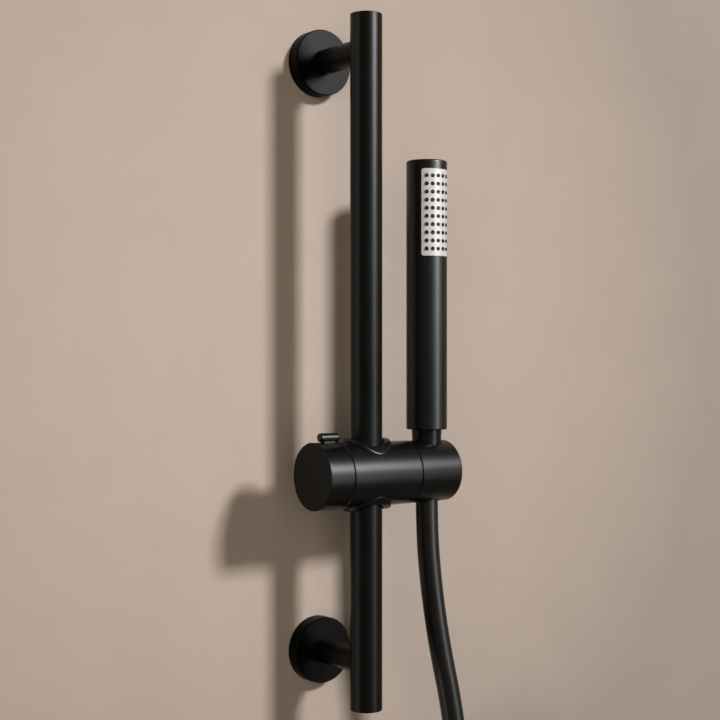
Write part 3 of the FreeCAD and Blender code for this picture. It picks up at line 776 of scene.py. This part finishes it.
def hose_route():
    """Control points of the hose: out of the nut, down its turns, round the coil and down the tail."""
    nut = middle("cone_nut")
    turns = [(HOSE_TURNS[0][0], nut.y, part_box("hose_tube")[1].z)]
    turns += [(x, nut.y - swing, z) for x, swing, z in HOSE_TURNS]
    centre = middle("hose_coil")
    radius = (half_size("hose_coil").z - half_size("hose_tail").x) / math.cos(math.pi / COIL_POINTS)
    joined = turns[-1]
    start = math.atan2(joined[2] - centre.z, joined[0] - centre.x)
    end = math.pi + COIL_TURNS * 2 * math.pi
    share = np.linspace(0, 1, COIL_TURNS * COIL_POINTS + 1)[1:]
    angle = start + (end - start) * share
    tail = middle("hose_tail")
    coil = np.stack((centre.x + radius * np.cos(angle), joined[1] + (tail.y - joined[1]) * share,
                     centre.z + radius * np.sin(angle)), axis=1)
    last = [(tail.x, tail.y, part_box("hose_tail")[0].z)]
    return np.concatenate((np.array(turns), coil, np.array(last)))


def spline_points(route):
    """Points along the NURBS spline that has the route as its control points."""
    curve = bpy.data.curves.new("hose route", "CURVE")
    curve.dimensions = "3D"
    curve.resolution_u = SPLINE_STEPS
    spline = curve.splines.new("NURBS")
    spline.points.add(len(route) - 1)
    spline.points.foreach_set("co", np.column_stack((route, np.ones(len(route)))).ravel())
    spline.order_u = SPLINE_ORDER
    spline.use_endpoint_u = True
    carrier = bpy.data.objects.new("hose route", curve)
    bpy.context.scene.collection.objects.link(carrier)
    bpy.context.view_layer.update()
    mesh = bpy.data.meshes.new_from_object(carrier.evaluated_get(bpy.context.evaluated_depsgraph_get()))
    points = np.empty(len(mesh.vertices) * 3)
    mesh.vertices.foreach_get("co", points)
    bpy.data.objects.remove(carrier)
    bpy.data.curves.remove(curve)
    bpy.data.meshes.remove(mesh)
    return points.reshape(-1, 3)


class SLIDERAIL_OT_hose(bpy.types.Operator):
    """Smooth hose from the cone nut to its coil and tail"""

    bl_idname = "sliderail.hose"
    bl_label = "Hose"

    def execute(self, context):
        finish = hose_black(context.scene.slide_rail.finish.rubber)
        settings = context.scene.slide_rail.hose
        path = spline_points(hose_route())
        diameter = 2 * half_size("hose_tail").x
        points = swept_tube(path, diameter / 2, settings.sides)
        faces = closed_faces(len(path), settings.sides)
        hose = make_piece("hose", points, faces, finish)
        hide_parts("hose_tube", "hose_coil", "hose_tail")
        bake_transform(hose)
        return {"FINISHED"}


class SLIDERAIL_OT_stage(bpy.types.Operator):
    """Plain wall, lamps and camera at the picture's angle"""

    bl_idname = "sliderail.stage"
    bl_label = "Stage"

    def execute(self, context):
        scene = context.scene
        settings = scene.slide_rail
        self.backdrop(scene, settings.finish.wall)
        self.lamps(scene, settings.stage)
        self.camera(scene, settings.stage)
        scene.view_settings.view_transform = "Standard"
        return {"FINISHED"}

    def backdrop(self, scene, colour):
        """A square wall just behind the roses, facing the room, with an opening behind each rose."""
        signs = ((-1, -1), (1, -1), (1, 1), (-1, 1))
        corners = [(x * WALL_REACH, WALL_BEHIND, z * WALL_REACH) for x, z in signs]
        mesh = bpy.data.meshes.new("wall")
        mesh.from_pydata(corners, [], [(0, 1, 2, 3)])
        openings = [(middle(rose).x, WALL_BEHIND, middle(rose).z) for rose in ROSES]
        radius = half_size("upper_rose").x * OPENING_SHARE
        mesh.materials.append(plaster(colour, openings, radius))
        wall = bpy.data.objects.new("wall", mesh)
        scene.collection.objects.link(wall)

    def lamps(self, scene, settings):
        """A key for the shadows, a panel and a low strip for gloss, a weak fill and an even dim surround."""
        self.area(scene, "key", settings.key_turn, settings.key_rise, KEY_DISTANCE, KEY_SIZE,
                  settings.key_power)
        gloss = self.area(scene, "gloss", settings.gloss_turn, settings.gloss_rise, GLOSS_DISTANCE,
                          GLOSS_SIZE, settings.gloss_power)
        gloss.visible_diffuse = False
        glow = self.area(scene, "glow", settings.gloss_turn, settings.glow_rise, GLOSS_DISTANCE, GLOW_SIZE,
                         settings.glow_power)
        glow.visible_diffuse = False
        fill = self.area(scene, "fill", -settings.yaw, 0.0, FILL_DISTANCE, FILL_SIZE, settings.fill_power)
        fill.visible_glossy = False
        fill.data.color = WARM
        self.surround(scene, settings)

    def surround(self, scene, settings):
        """Even light all round: dim on the part's colours, paler where the camera or a reflection sees it."""
        world = bpy.data.worlds.new("surround")
        world.use_nodes = True
        tree = world.node_tree
        background = tree.nodes["Background"]
        background.inputs["Color"].default_value = (*WARM, 1.0)
        ray = place(tree, "ShaderNodeLightPath", -900, 0).outputs
        mirrored = calculated(tree, -680, -80, "MAXIMUM", ray["Is Glossy Ray"], ray["Is Transmission Ray"])
        seen = calculated(tree, -480, 0, "MAXIMUM", ray["Is Camera Ray"], mirrored)
        strength = ramp(tree, -260, 0, seen, result=(settings.ambient, settings.surround))
        tree.links.new(strength, background.inputs["Strength"])
        scene.world = world

    def area(self, scene, name, turn, rise, distance, size, power):
        """A rectangular lamp that looks at the rail from a turn to the right and a rise."""
        level = math.cos(rise)
        towards = Vector((math.sin(turn) * level, -math.cos(turn) * level, math.sin(rise)))
        lamp = bpy.data.lights.new(name, "AREA")
        lamp.shape = "RECTANGLE"
        lamp.size, lamp.size_y = size
        lamp.energy = power
        placed = bpy.data.objects.new(name, lamp)
        placed.location = middle("rail_tube") + towards * distance
        placed.rotation_mode = "QUATERNION"
        placed.rotation_quaternion = (-towards).to_track_quat("-Z", "Y")
        scene.collection.objects.link(placed)
        return placed

    def camera(self, scene, settings):
        """A level camera to the left of the rail, looking to the right."""
        forward = Vector((math.sin(settings.yaw), math.cos(settings.yaw), 0))
        right = Vector((math.cos(settings.yaw), -math.sin(settings.yaw), 0))
        rail = middle("rail_tube")
        lens = bpy.data.cameras.new("camera")
        lens.lens = settings.lens
        lens.sensor_width = SENSOR_WIDTH
        lens.clip_start = CLIP_START
        camera = bpy.data.objects.new("camera", lens)
        place_at = rail - forward * settings.distance - right * settings.aside
        camera.location = (place_at.x, place_at.y, settings.eye_height)
        camera.rotation_mode = "QUATERNION"
        camera.rotation_quaternion = forward.to_track_quat("-Z", "Y")
        scene.collection.objects.link(camera)
        scene.camera = camera


OPERATORS = (SLIDERAIL_OT_stage, SLIDERAIL_OT_coated_metal, SLIDERAIL_OT_inner_pieces,
             SLIDERAIL_OT_hand_shower, SLIDERAIL_OT_hose, SLIDERAIL_OT_thread)


class SLIDERAIL_PT_panel(bpy.types.Panel):
    """Buttons for each group of pieces, and the settings"""

    bl_idname = "SLIDERAIL_PT_panel"
    bl_label = "Slide rail"
    bl_space_type = "VIEW_3D"
    bl_region_type = "UI"
    bl_category = "Slide rail"

    def draw(self, context):
        settings = context.scene.slide_rail
        for operator in OPERATORS:
            self.layout.operator(operator.bl_idname)
        for group in (settings.finish, settings.hose, settings.spray, settings.thread, settings.stage):
            box = self.layout.box()
            for name in group.__annotations__:
                box.prop(group, name)


CLASSES = (FinishSettings, HoseSettings, SpraySettings, ThreadSettings, StageSettings, SlideRailSettings,
           *OPERATORS, SLIDERAIL_PT_panel)


def register():
    """Registers the classes and hangs the settings on the scene."""
    for item in CLASSES:
        bpy.utils.register_class(item)
    bpy.types.Scene.slide_rail = bpy.props.PointerProperty(type=SlideRailSettings)


def unregister():
    """Takes the settings and classes away again."""
    del bpy.types.Scene.slide_rail
    for item in reversed(CLASSES):
        bpy.utils.unregister_class(item)


def main():
    """Makes every group of pieces."""
    register()
    bpy.ops.sliderail.stage()
    bpy.ops.sliderail.coated_metal()
    bpy.ops.sliderail.inner_pieces()
    bpy.ops.sliderail.hand_shower()
    bpy.ops.sliderail.hose()
    bpy.ops.sliderail.thread()


if __name__ == "__main__":
    main()
